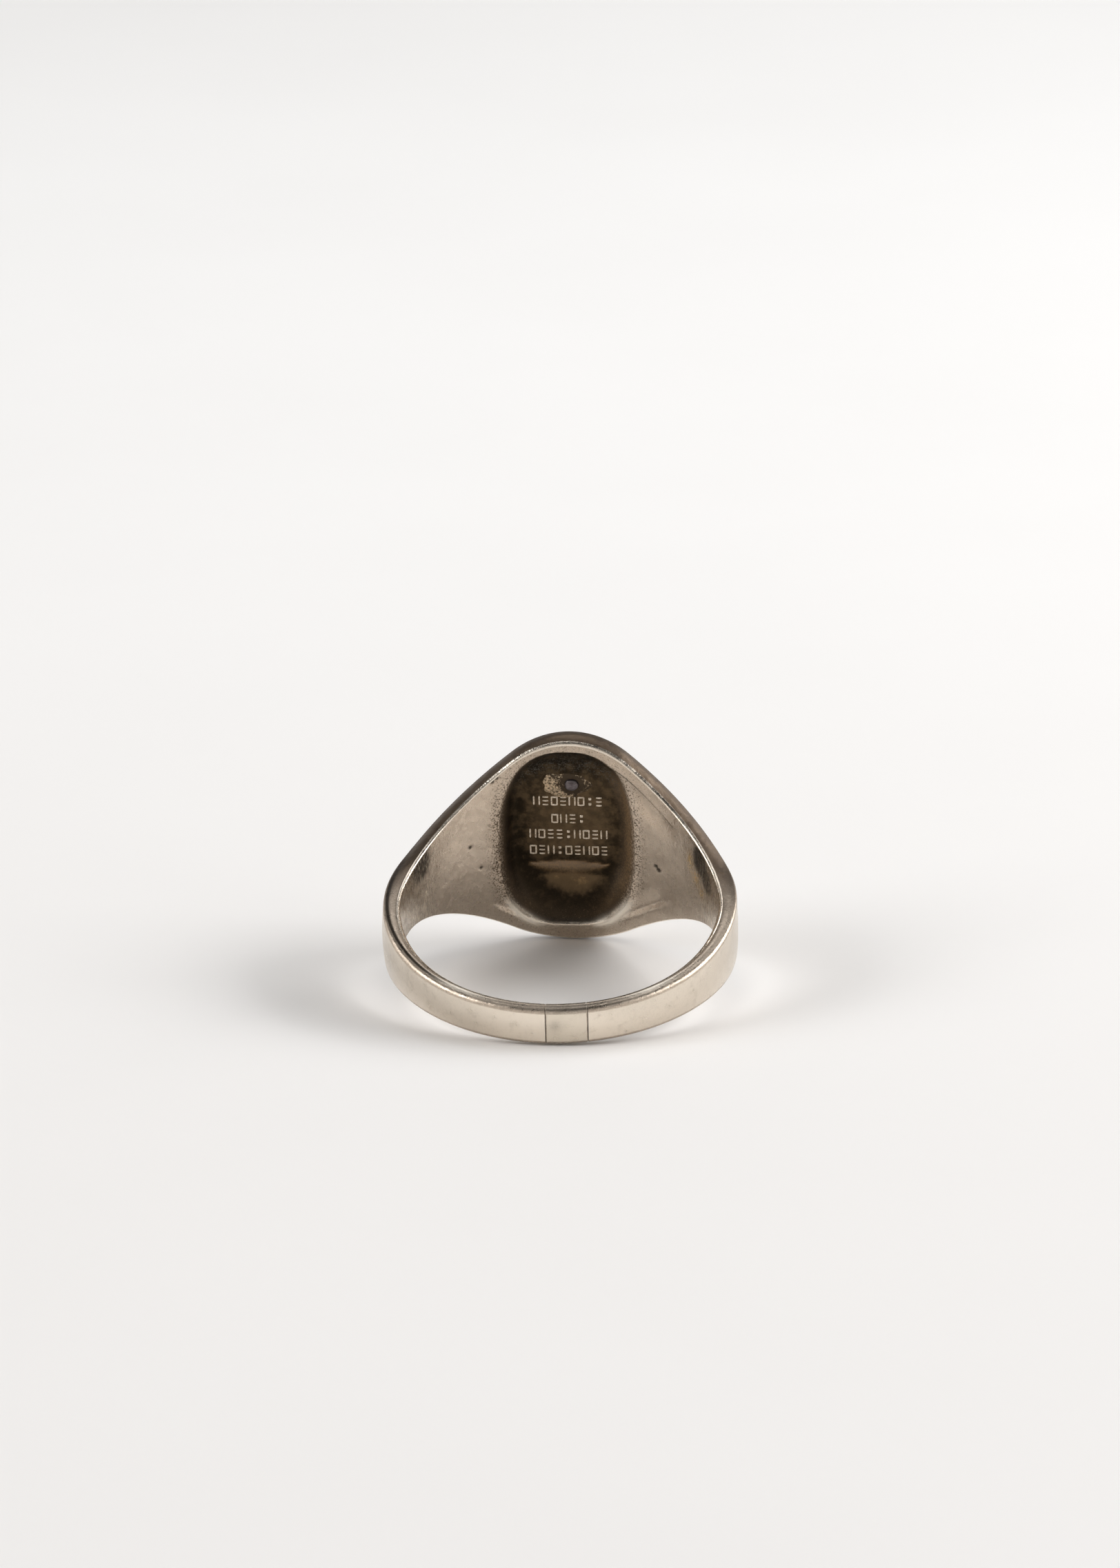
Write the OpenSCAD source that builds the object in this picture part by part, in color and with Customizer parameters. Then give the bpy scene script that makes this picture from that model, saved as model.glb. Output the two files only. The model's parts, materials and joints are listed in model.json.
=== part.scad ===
// Signet ring, lying on its side the way a ring rests on a table: the lower end
// of the tall head and the lower edge of the narrow hoop both touch z = 0.
// Every piece is drawn about the middle of the finger hole, with the finger
// along Z and the head towards +Y, and as_it_lies() then tips it into place.
// Millimetres.

/* [Finger hole] */
// Inside diameter of the hoop
bore_d = 19; // [16:0.1:22]

/* [Hoop] */
// Thickness of the hoop at the back
back_t = 1.0; // [0.8:0.05:1.5]
// Width of the hoop at the back
back_w = 2.5; // [2:0.1:3.5]
// Width of the hoop beside the finger, where the shoulders start
side_w = 3.4; // [2.6:0.1:4.5]

/* [Head] */
// Thickness of the head at its upper and lower ends
head_t = 1.25; // [1:0.05:1.8]
// Length of the head along the finger
head_l = 14.3; // [12:0.1:17]
// Radius of the head's two round ends
head_end_r = 6.1; // [5:0.1:7]

/* [Signet table] */
// Distance from the finger's axis to the table's raised border
table_y = 11.45; // [11.2:0.05:12]
// Width of the oval table
table_w = 9.8; // [8:0.1:11]
// Length of the oval table along the finger
table_l = 12; // [10:0.1:13]
// Radius of the oval's two ends
table_end_r = 4; // [3:0.1:4.5]
// Width of the raised border
border_w = 0.55; // [0.4:0.05:0.8]
// Depth of the sunk ground inside the border
ground_depth = 0.25; // [0.1:0.05:0.4]

/* [Hollow back] */
// Distance from the finger's axis to the floor of the hollow
floor_y = 10.4; // [10:0.05:10.6]
// Width of the hollow where it opens into the finger hole
hollow_w = 8.3; // [6:0.1:9]
// Length of the hollow at that width, before the hole's curve cuts it shorter
hollow_l = 14.6; // [12:0.1:15]
// Width of the flat floor
floor_w = 4.9; // [3:0.1:6]
// Length of the flat floor
floor_l = 8.8; // [6:0.1:10]

/* [Sizing repair] */
// Width of the piece let into the back of the hoop
insert_w = 2.35; // [1.5:0.05:4]
// How far round from the middle of the back that piece lies, in degrees
insert_turn = 6.5; // [-20:0.5:20]
// Thickness of each soldered joint beside it
seam_t = 0.1; // [0.06:0.01:0.2]

/* [Emblem] */
// Width of the plain shield
shield_w = 5; // [4:0.1:5.4]
// Height of the shield's straight sides
shield_side = 3.4; // [2:0.1:4]
// Thickness of the shield, with its raised field
shield_t = 0.6; // [0.4:0.05:0.8]
// Height of the shield's top edge above the middle of the head
shield_top = 4.35; // [3.8:0.05:4.5]
// Diameter of the post that holds the shield
post_d = 0.9; // [0.7:0.05:1.2]
// Height of the post above the middle of the head
post_z = 3.6; // [2.5:0.1:3.8]
// Diameter of the solder round the post's end
solder_d = 2.1; // [1.6:0.1:2.6]

/* [Hidden] */
$fn = 96;

silver = "#b9b1a6";
worn_silver = "#c6bfb4";
solder_grey = "#8f8a84";
dark_silver = "#5d544a";

bore_r = bore_d / 2;
// The outside of the hoop is round but set off centre, so the hoop thickens
// evenly from its back to the head.
outer_r = bore_r + (back_t + head_t) / 2;
outer_off = (head_t - back_t) / 2;
back_r = bore_r + back_t;
far = 2 * outer_r;

// Lying on its side: two contacts, one under the head and one under the hoop.
tip = atan((head_l - back_w) / 2 / (bore_r + back_r));
lift = back_r * sin(tip) + back_w / 2 * cos(tip);
reach_far = table_y * cos(tip) + table_l / 2 * sin(tip);
reach_near = back_r * cos(tip) + back_w / 2 * sin(tip);

// The head's outline: round ends, and straight shoulders that touch them and
// come down to the hoop's edge beside the finger, at a foot just inside its wall.
end_z = head_l / 2 - head_end_r;
foot_in_wall = 0.1;
foot_x = bore_r + foot_in_wall;
foot_rise = end_z - side_w / 2;
foot_reach = sqrt(foot_x * foot_x + foot_rise * foot_rise);
taper = asin(head_end_r / foot_reach) + atan(foot_rise / foot_x);
touch_x = head_end_r * sin(taper);
touch_z = end_z + head_end_r * cos(taper);

solder_h = 0.18;
post_proud = 0.1;
field_h = 0.15;
field_inset = 0.45;
shield_back_y = table_y - ground_depth;

module as_it_lies() {
    translate([0, (reach_near - reach_far) / 2, lift]) rotate([tip, 0, 0]) children();
}

// Stands a drawing made in X and Y up into the X-Z plane, from y0 towards +Y.
module facing_head(y0, length) {
    translate([0, y0 + length, 0]) rotate([90, 0, 0]) linear_extrude(length) children();
}

module head_outline() {
    for (side = [0, 1]) mirror([0, side]) translate([0, end_z]) circle(head_end_r);
    for (side = [0, 1]) mirror([side, 0])
        polygon([[0, touch_z], [touch_x, touch_z], [foot_x, side_w / 2], [far, side_w / 2],
                 [far, -side_w / 2], [foot_x, -side_w / 2], [touch_x, -touch_z],
                 [0, -touch_z]]);
}

// An oval of four arcs that touch: half width a, half length b, end radius r.
module oval(a, b, r) {
    reach = b - r;
    aside = (reach * reach - (a - r) * (a - r)) / (2 * (a - r));
    side_r = aside + a;
    join_z = reach * side_r / (side_r - r);
    for (end = [-1, 1]) translate([0, end * reach]) circle(r);
    intersection() {
        translate([aside, 0]) circle(side_r);
        translate([-aside, 0]) circle(side_r);
        square([2 * a, 2 * join_z], center = true);
    }
}

// The half of the space behind the finger, narrowing to the middle of the back.
module back_band() {
    rotate([90, 0, 90]) linear_extrude(2 * far, center = true)
        polygon([[0, side_w / 2], [0, -side_w / 2], [-back_r, -back_w / 2],
                 [-far, -back_w / 2], [-far, back_w / 2], [-back_r, back_w / 2]]);
}

module blank() {
    intersection() {
        translate([0, outer_off, 0]) cylinder(r = outer_r, h = far, center = true);
        union() {
            facing_head(0, far) head_outline();
            back_band();
        }
    }
    facing_head(bore_r / 2, table_y - bore_r / 2)
        oval(table_w / 2, table_l / 2, table_end_r);
}

module finger_hole() {
    cylinder(r = bore_r, h = 2 * far, center = true);
}

module hollow() {
    mouth_y = sqrt(bore_r * bore_r - hollow_w * hollow_w / 4);
    thin = 0.01;
    hull() {
        for (end = [-1, 1]) {
            facing_head(mouth_y, thin)
                translate([0, end * (hollow_l - hollow_w) / 2]) circle(d = hollow_w, $fn = 32);
            facing_head(floor_y - thin, thin)
                translate([0, end * (floor_l - floor_w) / 2]) circle(d = floor_w, $fn = 32);
        }
    }
}

module sunk_ground() {
    facing_head(table_y - ground_depth, far)
        oval(table_w / 2 - border_w, table_l / 2 - border_w, table_end_r - border_w);
}

module post_hole() {
    translate([0, 0, post_z]) rotate([-90, 0, 0]) cylinder(d = post_d, h = far);
}

// The slot through the back of the hoop, between two parallel sides.
module across_back(x0, x1) {
    rotate([0, 0, insert_turn]) translate([x0, -far, -far]) cube([x1 - x0, far, 2 * far]);
}

module hoop_piece(x0, x1) {
    difference() {
        intersection() {
            blank();
            across_back(x0, x1);
        }
        finger_hole();
    }
}

module shield(w, side) {
    top = shield_top;
    translate([-w / 2, top - side]) square([w, side]);
    intersection() {
        translate([-w / 2, top - side]) circle(w);
        translate([w / 2, top - side]) circle(w);
        translate([-w / 2, top - side - w]) square([w, w]);
    }
}

module ring_body() {
    color(silver) as_it_lies() difference() {
        blank();
        finger_hole();
        hollow();
        sunk_ground();
        post_hole();
        across_back(-insert_w / 2 - seam_t, insert_w / 2 + seam_t);
    }
}

module sizing_insert() {
    color(worn_silver) as_it_lies() hoop_piece(-insert_w / 2, insert_w / 2);
}

module solder_seam_left() {
    color(solder_grey) as_it_lies() hoop_piece(-insert_w / 2 - seam_t, -insert_w / 2);
}

module solder_seam_right() {
    color(solder_grey) as_it_lies() hoop_piece(insert_w / 2, insert_w / 2 + seam_t);
}

module shield_emblem() {
    small_w = shield_w - 2 * field_inset;
    color(worn_silver) as_it_lies() {
        facing_head(shield_back_y, shield_t - field_h) shield(shield_w, shield_side);
        facing_head(shield_back_y, shield_t)
            translate([0, -field_inset]) shield(small_w, shield_side - field_inset);
    }
}

module emblem_post() {
    color(dark_silver) as_it_lies() translate([0, floor_y - solder_h - post_proud, post_z])
        rotate([-90, 0, 0])
            cylinder(d = post_d, h = shield_back_y - floor_y + solder_h + post_proud);
}

module post_solder() {
    color(solder_grey) as_it_lies() translate([0, floor_y, post_z]) rotate([90, 0, 0])
        difference() {
            cylinder(d1 = solder_d, d2 = solder_d - 0.6, h = solder_h);
            translate([0, 0, -solder_h]) cylinder(d = post_d, h = 3 * solder_h);
        }
}

ring_body();
sizing_insert();
solder_seam_left();
solder_seam_right();
shield_emblem();
emblem_post();
post_solder();
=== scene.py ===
"""A worn silver signet ring, let out at the back, lying on its side on a pale table.

Shapes are worked out about the finger hole in millimetres, with the finger along Z
and the head towards +Y, and laid in the frame by the finger hole's own mount.
"""
import json
import math

import bpy
import numpy as np
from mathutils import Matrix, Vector


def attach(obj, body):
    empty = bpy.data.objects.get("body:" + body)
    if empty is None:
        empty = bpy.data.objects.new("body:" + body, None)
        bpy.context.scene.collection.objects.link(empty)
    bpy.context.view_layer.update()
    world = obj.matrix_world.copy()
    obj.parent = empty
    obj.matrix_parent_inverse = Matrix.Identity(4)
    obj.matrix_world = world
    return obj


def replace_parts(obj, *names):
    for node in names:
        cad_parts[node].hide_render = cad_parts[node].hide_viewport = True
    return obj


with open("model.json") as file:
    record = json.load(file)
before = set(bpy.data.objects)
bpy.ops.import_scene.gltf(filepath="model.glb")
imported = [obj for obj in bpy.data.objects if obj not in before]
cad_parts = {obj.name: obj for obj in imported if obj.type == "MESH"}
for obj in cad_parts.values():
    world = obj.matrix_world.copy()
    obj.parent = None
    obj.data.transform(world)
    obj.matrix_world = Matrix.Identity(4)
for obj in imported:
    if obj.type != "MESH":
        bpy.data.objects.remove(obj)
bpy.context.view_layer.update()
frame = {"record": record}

MM = 0.001
BODY = "root"

# Sizes shared with the solids, in millimetres
BORE_R = 9.5
BACK_T = 1.0
BACK_W = 2.5
SIDE_W = 3.4
HEAD_T = 1.25
HEAD_L = 14.3
HEAD_END_R = 6.1
TAPER = math.radians(35.6)
TABLE_Y = 11.45
TABLE_A = 4.9
TABLE_B = 6.0
BORDER_W = 0.55
GROUND_DEPTH = 0.25
FLOOR_Y = 10.4
INSERT_W = 2.35
INSERT_TURN = math.radians(6.5)
SEAM_T = 0.1
POST_Z = 3.6
POST_R = 0.45

OUTER_R = BORE_R + (BACK_T + HEAD_T) / 2
OUTER_OFF = (HEAD_T - BACK_T) / 2
END_Z = HEAD_L / 2 - HEAD_END_R
TOUCH_X = HEAD_END_R * math.sin(TAPER)
TOUCH_Z = END_Z + HEAD_END_R * math.cos(TAPER)
BACK_AT = math.pi - INSERT_TURN
MID_R = BORE_R + BACK_T / 2

# Edge shapes: the outer corners are rubbed round, most on the hoop; the inner ones bevelled
HEAD_ROUND = 0.15
HOOP_ROUND = 0.34
INNER_BEVEL = 0.24
BEVEL_POWER = 1.25
CROWN = 0.09
EDGE_PROUD = 0.09
SIDE_DROP = 0.02
SIDE_DOME = 0.32
DOME_MIDDLE = 0.45
SHOULDER_SOFT = 0.20

# The hollow back: middle, half width and half length of its opening
HOLLOW_X = -0.22
HOLLOW_Z = 0.27
HOLLOW_A = 4.08
HOLLOW_B = 6.17
HOLLOW_POWER = 2.8

# Its side walls, as shares of that opening; its two bends; and the rolled lower lip
WALL_START = 1.10
WALL_RUN = 0.52
BEND_Z = -1.95
BEND_X = -0.3
BEND_ARCH = 0.05
UPPER_BEND = 2.1
LIP_RISE = 0.15
LIP_REACH = 0.16
LIP_INSET = 0.08

# An x so far across that nothing of the hollow reaches it, for directions behind the finger
FAR = 99.0


# ---------------------------------------------------------------- placing

def hole_axes():
    """The finger hole's middle, and the ring's own three directions, from its mount."""
    mount = next(m for m in frame["record"]["mounts"] if m["name"] == "finger_bore")
    up = np.array(mount["axis"], float)
    up /= np.linalg.norm(up)
    across = np.array([1.0, 0.0, 0.0])
    ahead = np.cross(up, across)
    return np.array(mount["pos_m"], float), across, ahead, up


HOLE, ACROSS, AHEAD, UP = hole_axes()


def laid(x, y, z):
    """Points of the ring's own axes, in millimetres, as frame coordinates in metres."""
    shape = np.broadcast_shapes(np.shape(x), np.shape(y), np.shape(z))
    parts = [np.broadcast_to(v, shape).reshape(-1, 1) * MM for v in (x, y, z)]
    return HOLE + parts[0] * ACROSS + parts[1] * AHEAD + parts[2] * UP


def smooth(low, high, value):
    """0 below low, 1 above high, and an S-shaped rise between them."""
    t = np.clip((value - low) / (high - low), 0.0, 1.0)
    return t * t * (3.0 - 2.0 * t)


# ---------------------------------------------------------------- meshes

def make_piece(name, verts, faces, material, attributes=None, sharp=40.0):
    """A mesh object from arrays, smooth but for edges past the sharp angle."""
    mesh = bpy.data.meshes.new(name)
    mesh.from_pydata(verts.tolist(), [], faces)
    mesh.polygons.foreach_set("use_smooth", [True] * len(mesh.polygons))
    mesh.set_sharp_from_angle(angle=math.radians(sharp))
    for key, values in (attributes or {}).items():
        values = np.asarray(values, float)
        kind = "FLOAT" if values.ndim == 1 else "FLOAT_VECTOR"
        field = "value" if values.ndim == 1 else "vector"
        layer = mesh.attributes.new(key, kind, "POINT")
        layer.data.foreach_set(field, values.astype(np.float32).ravel())
    mesh.materials.append(material)
    mesh.update()
    piece = bpy.data.objects.new(name, mesh)
    bpy.context.scene.collection.objects.link(piece)
    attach(piece, BODY)
    return piece


def grid_faces(rows, cols, wrap_rows=False, wrap_cols=False, first=0):
    """Quads over a rows by cols grid of points, joined round where asked."""
    i = np.arange(rows if wrap_rows else rows - 1)[:, None]
    j = np.arange(cols if wrap_cols else cols - 1)[None, :]
    i2, j2 = (i + 1) % rows, (j + 1) % cols
    quads = np.stack([i * cols + j, i2 * cols + j, i2 * cols + j2, i * cols + j2], -1)
    return (quads.reshape(-1, 4) + first).tolist()


def facing_out(verts, faces):
    """The faces, turned over if together they enclose a negative volume.

    The volume's sign is that of the sum, over every triangle, of one corner times the
    cross product of the other two.
    """
    fans = np.array([(f[0], f[k], f[k + 1]) for f in faces for k in range(1, len(f) - 1)])
    a, b, c = (verts[fans[:, k]] for k in range(3))
    volume = np.sum(a * np.cross(b, c))
    return faces if volume > 0 else [list(reversed(f)) for f in faces]


# ---------------------------------------------------------------- the hoop and head

def half_width(theta, r):
    """Half the ring's width along the finger, at direction theta and radius r.

    Over the head it is a round end with a straight shoulder touching it, measured
    by the distance x from the middle plane; behind the finger x goes on growing,
    and the band's own slowly narrowing width takes over by a soft maximum.
    """
    s = np.abs(np.sin(theta))
    x = r * np.where(np.cos(theta) >= 0, s, 2 - s)
    arc = END_Z + np.sqrt(np.maximum(HEAD_END_R**2 - x**2, 0.0))
    line = TOUCH_Z - (x - TOUCH_X) * math.tan(TAPER)
    shoulder = np.where(x < TOUCH_X, arc, line)
    back = np.clip(-np.cos(theta), 0, 1)
    band = SIDE_W / 2 + (BACK_W - SIDE_W) / 2 * smooth(0, 1, back)
    gap = shoulder - band
    return band + 0.5 * (gap + np.sqrt(gap * gap + SHOULDER_SOFT))


def outer_radius(theta, zf):
    """The outside: a circle set off towards the head.

    zf runs from -1 to 1 across the width. The hoop is crowned a little by its square;
    the head's edges stand slightly proud by the same square.
    """
    set_off = OUTER_OFF * np.sin(theta)
    base = OUTER_OFF * np.cos(theta) + np.sqrt(OUTER_R**2 - set_off**2)
    head = smooth(-0.1, 0.5, np.cos(theta))
    return base - CROWN * zf**2 * (1 - head) + EDGE_PROUD * head * zf**2


def x_in_head(theta):
    """The distance across, on the finger hole's wall: radius times sine, or FAR behind."""
    return np.where(np.cos(theta) > 0, BORE_R * np.sin(theta), FAR)


def hollow_reach(theta, z):
    """0 in the middle of the hollow, 1 on its edge: a rounded box's own measure.

    The second value is the share of it that runs along the finger.
    """
    across = np.abs((x_in_head(theta) - HOLLOW_X) / HOLLOW_A) ** HOLLOW_POWER
    along = np.abs((z - HOLLOW_Z) / HOLLOW_B) ** HOLLOW_POWER
    total = across + along
    return total ** (1 / HOLLOW_POWER), along / np.maximum(total, 1e-9)


def hollow_ends(x):
    """The hollow's lower and upper lips at x across."""
    inner = np.clip(1 - np.abs((x - HOLLOW_X) / HOLLOW_A) ** HOLLOW_POWER, 0, 1)
    tall = HOLLOW_B * inner ** (1 / HOLLOW_POWER)
    return HOLLOW_Z - tall, HOLLOW_Z + tall


def bend_top(x):
    """Where the flat floor turns into the lower bend: a shallow arch."""
    return BEND_Z - BEND_ARCH * (x - BEND_X) ** 2


def hollow_depth(theta, z):
    """How far the back of the head is hollowed beyond the finger hole's radius.

    The floor is flat. The walls at its two sides slope in a soft S. The upper end
    curves up to its lip; the lower one leaves the floor at a slight crease, rises
    slowly and then steeply, and its lip is a rolled edge.
    """
    x = x_in_head(theta)
    floor = FLOOR_Y / np.maximum(np.cos(theta), 0.5) - BORE_R
    low, high = hollow_ends(x)
    inner = np.clip(1 - np.abs((z - HOLLOW_Z) / HOLLOW_B) ** HOLLOW_POWER, 1e-6, 1)
    across = np.abs(x - HOLLOW_X) / (HOLLOW_A * inner ** (1 / HOLLOW_POWER))
    side_t = np.clip((WALL_START - across) / WALL_RUN, 0, 1)
    side = side_t**3 * (10 - 15 * side_t + 6 * side_t**2)
    down = np.clip((z - low) / np.maximum(bend_top(x) - low, 0.4), 0, 1)
    lower = 1 - 0.6 * (1 - down) - 0.4 * (1 - down) ** 7
    up = np.clip((high - z) / UPPER_BEND, 0, 1)
    upper = 1 - (1 - up) ** 2.3
    rolled = LIP_RISE * np.exp(-((z - low + LIP_INSET) / LIP_REACH) ** 2)
    rolled = rolled * (high > low + 1.0) * (z < 0)
    return floor * side * lower * upper - rolled


# The die's steps on the shoulders: side (1 right), end (1 upper), depth, distance inside
# the edge, where it starts and has faded across, and how far it takes to fall
DIE_STEPS = ((1, 1, 0.16, 0.93, 1.7, 6.6, 0.05),
             (1, -1, 0.19, 0.80, 2.2, 6.6, 0.50),
             (-1, -1, 0.19, 0.80, 2.2, 5.2, 0.40))
FOOT_REACH = 0.10


def shoulder_step(theta, z):
    """Low steps left by the die along three of the shoulders' edges, and their dark foot.

    Each runs parallel to the edge, a little inside it, and dies away outwards. Only
    the upper one has the dark foot, a bell across its line.
    """
    x = BORE_R * np.sin(theta)
    ahead = np.cos(theta) > 0
    edge = half_width(theta, BORE_R)
    dip = np.zeros(np.broadcast_shapes(np.shape(x), np.shape(z)))
    foot = dip
    for side, end, depth, set_in, start, fade, fall in DIE_STEPS:
        inset = (edge - end * z) * math.cos(TAPER)
        along = smooth(start, start + 1.0, side * x) * (1 - smooth(fade - 1.6, fade, side * x)) * ahead
        line = set_in + 0.10 * smooth(3.5, 6.0, side * x)
        step = smooth(line - 0.05, line + fall, inset) * (1 - smooth(line + 0.25, line + 1.7, inset))
        dip = dip + depth * step * along
        if end > 0:
            foot = foot + np.exp(-((inset - line) / FOOT_REACH) ** 2) * along
    return dip, foot


# Dents in the shoulders, painted dark reflections and gold crust inside them: place across, place
# along, reaches
PIT_DEPTH = 0.05
PITS = ((5.19, -0.61, 0.11, 0.11), (5.36, -0.83, 0.13, 0.12),
        (-5.38, -0.92, 0.09, 0.09), (-5.96, 0.80, 0.10, 0.10), (-4.59, 4.95, 0.10, 0.09),
        (-4.31, 5.11, 0.08, 0.08), (-3.90, 5.63, 0.07, 0.08))
DARK_REFLECTIONS = ((-8.62, 1.75, 0.46, 1.25), (8.02, 1.75, 0.46, 1.05), (8.55, 0.70, 0.26, 0.75))
GOLD_CRUST = ((7.42, 1.20, 0.17, 0.60), (7.78, 0.30, 0.17, 0.45), (8.15, -0.40, 0.15, 0.35))


def spots(theta, z, places):
    """The sum of bell-shaped spots at the given places inside the head and shoulders."""
    x = x_in_head(theta)
    total = np.zeros(np.broadcast_shapes(np.shape(x), np.shape(z)))
    for px, pz, reach_x, reach_z in places:
        total = total + np.exp(-((x - px) / reach_x) ** 2 - ((z - pz) / reach_z) ** 2)
    return np.minimum(total, 1.0)


UNDER_TABLE_Y = 11.0


def under_table(theta, r, z):
    """The outside raised to a flat under the signet table, where the table's skin covers it."""
    x, y = r * np.sin(theta), r * np.cos(theta)
    rho = np.hypot(x / TABLE_A, z / TABLE_B)
    up = (UNDER_TABLE_Y - y) * (1 - smooth(0.8, 0.97, rho)) * (y > 0)
    return r + up / np.maximum(np.cos(theta), 0.3)


def end_angle(x_cut, r):
    """The direction of a straight cut beside the insert, at radius r."""
    return np.arcsin(x_cut / r)


def crowded(count, crowding):
    """Places from 1 to -1, set closer together beyond two thirds of the way out.

    They are read backwards from the running sum of 1 plus the crowding times a soft step.
    """
    fine = np.linspace(-1, 1, 2001)
    total = np.cumsum(1 + crowding * smooth(0.60, 0.74, np.abs(fine)))
    return -np.interp(np.linspace(total[0], total[-1], count), total, fine)


def spaced(stops, gaps):
    """Directions from the first stop to the last, with each stretch's own spacing."""
    parts = []
    for a, b, gap in zip(stops[:-1], stops[1:], gaps):
        count = max(2, int(round(abs(b - a) / gap)))
        parts.append(np.linspace(a, b, count, endpoint=False))
    return np.append(np.concatenate(parts), stops[-1])


# The kinds of surface round the hoop's section, from the outside in
OUTSIDE, CORNER, SIDE, BEVEL, INSIDE = range(5)
# The angle over which the rows near a cut turn to follow it
CUT_BLEND = 0.12
# How far down a side its last point before the bevel is
SIDE_LAST = 0.93
# How much closer the inner face's points are at the ends of the hollow
HEAD_CROWDING = 1.8


def hoop_mesh(name, start, stop, steps, faces_across, material, grow=0.0, head=True):
    """A stretch of the ring as one closed skin.

    Each row is a loop round the section: outer face, rounded corner, side, bevel,
    inner face and back. start and stop are (cut, sign): the straight cut's distance
    from the insert's middle. steps are the rows' directions between the two ends.
    grow swells the section a little, and head adds the hollow, the steps and the pits.
    """
    n_out, n_corner, n_side, n_in = faces_across
    base = steps[:, None]
    ends = []
    for (cut, sign), end in ((start, steps[0]), (stop, steps[-1])):
        near = np.clip(1 - np.abs(steps - end) / CUT_BLEND, 0, 1)[:, None]
        ends.append((near, cut, sign))

    def at(r):
        """The rows' directions at radius r: near an end they slip round, so its cut is straight."""
        slips = [near * (sign * (end_angle(cut, r) - end_angle(cut, MID_R)))
                 for near, cut, sign in ends]
        return base + slips[0] + slips[1]

    rows_r, rows_t, rows_z, part = [], [], [], []

    def add(r, z, kind):
        """One more strip of columns at radius r and z along, all of one kind."""
        r = r + np.zeros_like(base)
        rows_r.append(r)
        rows_t.append(at(r))
        rows_z.append(z + np.zeros_like(r))
        part.append(np.full(r.shape[1], kind))

    ease = HEAD_ROUND + (HOOP_ROUND - HEAD_ROUND) * (1 - smooth(-0.6, 0.15, np.cos(base)))

    def half(end):
        """The upper (1) or lower (-1) edge: a quarter round, a slightly domed side, a bevel."""
        alpha = np.linspace(0, np.pi / 2, n_corner)[None, 1:]
        edge = outer_radius(base, 1.0) + grow
        r = edge - ease * (1 - np.cos(alpha))
        z = half_width(base, r) + grow - ease * (1 - np.sin(alpha))
        corner = (r, end * z, CORNER)
        t = np.append(np.linspace(0, SIDE_LAST, n_side)[1:], 1.0)[None, :]
        r = edge - ease + t * (BORE_R + INNER_BEVEL - edge + ease)
        dome = SIDE_DOME * (t - DOME_MIDDLE) ** 2 - SIDE_DOME * DOME_MIDDLE**2
        side = (r, end * (half_width(base, r) + grow - dome - SIDE_DROP * t), SIDE)
        r = BORE_R + INNER_BEVEL * (1 - np.sin(alpha) ** BEVEL_POWER)
        z = half_width(base, r) + grow - SIDE_DROP - INNER_BEVEL * (1 - np.cos(alpha) ** BEVEL_POWER)
        return corner, side, (r, end * z, BEVEL)

    zf = np.linspace(-1, 1, n_out)[None, :]
    r = outer_radius(base, zf) + grow
    z = zf * (half_width(base, r) + grow - ease)
    add(under_table(base, r, z) if head else r, z, OUTSIDE)
    for block in half(1.0):
        add(*block)
    zf = crowded(n_in, HEAD_CROWDING if head else 0.0)[None, 1:]
    z = zf * (half_width(base, BORE_R) + grow - INNER_BEVEL)
    r = BORE_R + np.zeros_like(z)
    if head:
        step, _ = shoulder_step(base, z)
        r = r + hollow_depth(base, z) + step + PIT_DEPTH * spots(base, z, PITS)
    add(r, z, INSIDE)
    for r, z, kind in reversed(half(-1.0)):
        add(r[:, ::-1], z[:, ::-1], kind)
    r = np.concatenate(rows_r, 1)
    theta = np.concatenate(rows_t, 1)
    z = np.concatenate(rows_z, 1)
    rows, cols = r.shape
    verts = laid(r * np.sin(theta), r * np.cos(theta), z)
    faces = grid_faces(rows, cols, wrap_cols=True)
    faces.append(list(range(cols)))
    faces.append([(rows - 1) * cols + k for k in reversed(range(cols))])
    faces = facing_out(verts, faces)
    attributes = surface_age(theta, r, z, np.concatenate(part))
    return make_piece(name, verts, faces, material, attributes)


# ---------------------------------------------------------------- what age has done to it

# Tan marks outside: strength, direction in degrees, reach round, place along, reach along
TAN_MARKS = ((0.30, 138, 0.05, 0.0, 0.6), (0.55, 177.2, 0.035, 0.2, 0.35))
# The two directions, in degrees, where the upper side of the hoop carries a painted highlight
SHINE_TURNS = (-148, 142)
SHINE_REACH = 0.17
SHINE_R = 9.98


def hollow_tone(x, z):
    """How the oxide in the hollow is coloured: 0 black, 1 amber.

    Olive in the middle of the floor, and a bowl-shaped tan patch in the lower bend, a painted
    reflection.
    """
    floor = 0.36 * np.exp(-((x + 0.1) / 2.6) ** 4 - ((z - 0.9) / 2.9) ** 4)
    below = bend_top(x) - z
    bowl = 2.6 - 0.40 * (x + 0.03) ** 2
    # painted reflection: a lighter tan bowl under the crease
    patch = 0.49 * smooth(0.60, 1.05, below) * (1 - smooth(bowl - 1.0, bowl + 0.15, below))
    patch = patch * np.exp(-((x + 0.03) / 1.95) ** 6)
    top = 0.12 * smooth(2.5, 4.5, z)
    return 0.02 + floor + patch + top


def crease_highlight(x, z):
    """Where the crease at the top of the lower bend carries a painted highlight: a thin lens below it.

    The lens is a parabola's height across; the highlight falls off by the share of it passed.
    """
    below = bend_top(x) - z
    lens = 1.25 * np.clip(1 - ((x + 0.25) / 2.3) ** 2, 0.0, 1)
    fall = 1 - smooth(0.15, 1.0, below / np.maximum(lens, 1e-3))
    return smooth(-0.07, 0.05, below) * fall * smooth(0.0, 0.10, lens)


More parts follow.
